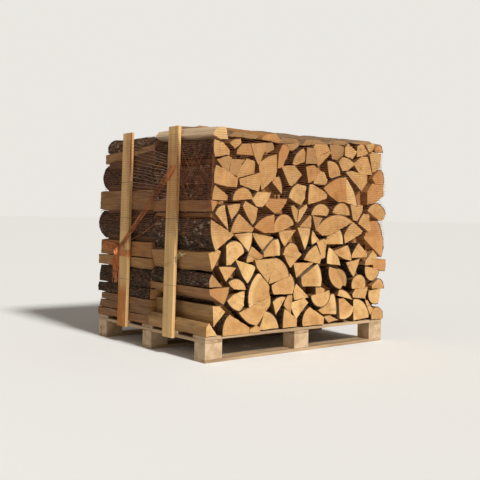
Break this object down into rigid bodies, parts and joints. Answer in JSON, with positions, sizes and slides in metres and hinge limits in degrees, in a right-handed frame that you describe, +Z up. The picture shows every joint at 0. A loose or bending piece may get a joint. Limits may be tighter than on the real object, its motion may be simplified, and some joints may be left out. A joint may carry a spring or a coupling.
{
  "type": "pallet of netted firewood",
  "caption": "Split firewood logs stacked in rows on a wooden pallet, held at one side by nailed battens and wrapped round the top half in a fine knitted net tied off with a knot.",
  "frame": {"origin": "middle of the pallet's underside, on the middle bottom board", "axes": "+X along the pallet's 1200 mm side, away from the battens; +Y from the front row to the rear row, so the front row's sawn ends face -Y; +Z up"},
  "size_m": [1.2507, 1.055, 1.149],
  "materials": {
    "pallet_wood": "rough sawn, a little weathered",
    "batten_wood": "rough sawn, pale",
    "firewood": "sawn ends, split faces and bark",
    "net_thread": "thin knitted orange-brown thread",
    "twine_thread": "thin pale yellow twine"
  },
  "bodies": {
    "root": {"batten_far": "batten_wood", "batten_near": "batten_wood", "block_front_left": "pallet_wood", "block_front_middle": "pallet_wood", "block_front_right": "pallet_wood", "block_middle_left": "pallet_wood", "block_middle_middle": "pallet_wood", "block_middle_right": "pallet_wood", "block_rear_left": "pallet_wood", "block_rear_middle": "pallet_wood", "block_rear_right": "pallet_wood", "bottom_board_front": "pallet_wood", "bottom_board_middle": "pallet_wood", "bottom_board_rear": "pallet_wood", "deck_board_1": "pallet_wood", "deck_board_2": "pallet_wood", "deck_board_3": "pallet_wood", "deck_board_4": "pallet_wood", "deck_board_5": "pallet_wood", "log_front_01": "firewood", "log_front_02": "firewood", "log_front_03": "firewood", "log_front_04": "firewood", "log_front_05": "firewood", "log_front_06": "firewood", "log_front_07": "firewood", "log_front_08": "firewood", "log_front_09": "firewood", "log_front_10": "firewood", "log_front_11": "firewood", "log_rear_01": "firewood", "log_rear_02": "firewood", "log_rear_03": "firewood", "log_rear_04": "firewood", "log_rear_05": "firewood", "log_rear_06": "firewood", "log_rear_07": "firewood", "log_rear_08": "firewood", "log_rear_09": "firewood", "log_rear_10": "firewood", "log_rear_11": "firewood", "log_rear_12": "firewood", "log_top_1": "firewood", "log_top_2": "firewood", "log_top_3": "firewood", "log_top_4": "firewood", "log_top_5": "firewood", "log_top_6": "firewood", "log_top_7": "firewood", "log_top_8": "firewood", "logs_front_inner": "firewood", "logs_rear_inner": "firewood", "net": "net_thread", "net_tie": "net_thread", "stringer_left": "pallet_wood", "stringer_middle": "pallet_wood", "stringer_right": "pallet_wood", "twine": "twine_thread"}
  },
  "joints": []
}
